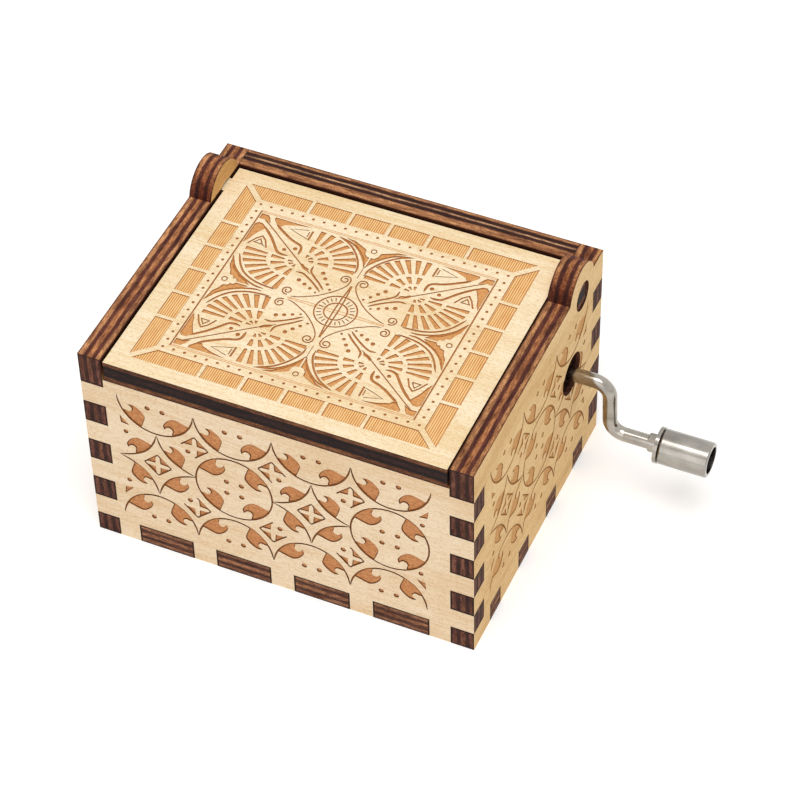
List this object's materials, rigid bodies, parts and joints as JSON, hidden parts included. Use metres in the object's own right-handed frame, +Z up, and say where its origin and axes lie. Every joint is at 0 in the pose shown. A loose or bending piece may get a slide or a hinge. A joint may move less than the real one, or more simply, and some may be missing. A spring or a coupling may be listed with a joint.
{
  "type": "hand cranked music box",
  "caption": "Small hand-cranked music box: a finger-jointed plywood case with a hinged lid, a bent wire crank on its right side and a pinned cylinder and comb inside.",
  "frame": {"origin": "centre of the case's underside, midway between the outer faces of its four walls", "axes": "+X along the front towards the crank, -Y out of the front panel, +Z up"},
  "size_m": [0.0873, 0.051, 0.0429],
  "materials": {
    "birch_plywood": "bare plywood with burnt cut edges",
    "cast_zinc": "die-cast, matt",
    "nickel_steel": "nickel plated sheet",
    "spring_steel": "ground",
    "lead": "dull lead",
    "screw_steel": "bright zinc plate",
    "brass": "turned",
    "nickel_plate": "polished nickel plate"
  },
  "bodies": {
    "case": {"bottom_panel": "birch_plywood", "front_panel": "birch_plywood", "back_panel": "birch_plywood", "left_side_panel": "birch_plywood", "right_side_panel": "birch_plywood", "bedplate": "cast_zinc", "crank_bracket": "nickel_steel", "comb": "spring_steel", "bass_weights": "lead", "comb_screws": "screw_steel", "bracket_screws": "screw_steel", "floor_screws": "screw_steel"},
    "lid": {"lid": "birch_plywood"},
    "cylinder": {"cylinder_barrel": "brass", "tune_pins": "spring_steel", "cylinder_arbor": "screw_steel", "cylinder_end_caps": "brass", "worm_wheel": "brass"},
    "crank": {"crank_wire": "nickel_plate", "worm": "brass", "shaft_collar": "screw_steel", "knob_washer": "nickel_plate"},
    "knob": {"crank_knob": "nickel_plate"}
  },
  "joints": [
    {"name": "lid_hinge", "type": "hinge", "parent": "case", "child": "lid", "pos_m": [0, 0.017, 0.0368], "axis": [-1, 0, 0], "range_deg": [0, 130]},
    {"name": "cylinder_spin", "type": "hinge", "parent": "case", "child": "cylinder", "pos_m": [0.005, 0, 0.0148], "axis": [0, 1, 0], "continuous": true},
    {"name": "crank_spin", "type": "hinge", "parent": "case", "child": "crank", "pos_m": [0, 0.0134, 0.0233], "axis": [1, 0, 0], "continuous": true},
    {"name": "knob_spin", "type": "hinge", "parent": "crank", "child": "knob", "pos_m": [0.05, 0.0134, 0.0134], "axis": [1, 0, 0], "continuous": true}
  ],
  "couplings": [
    {"joint": "cylinder_spin", "follows": "crank_spin", "ratio": -0.066667}
  ]
}
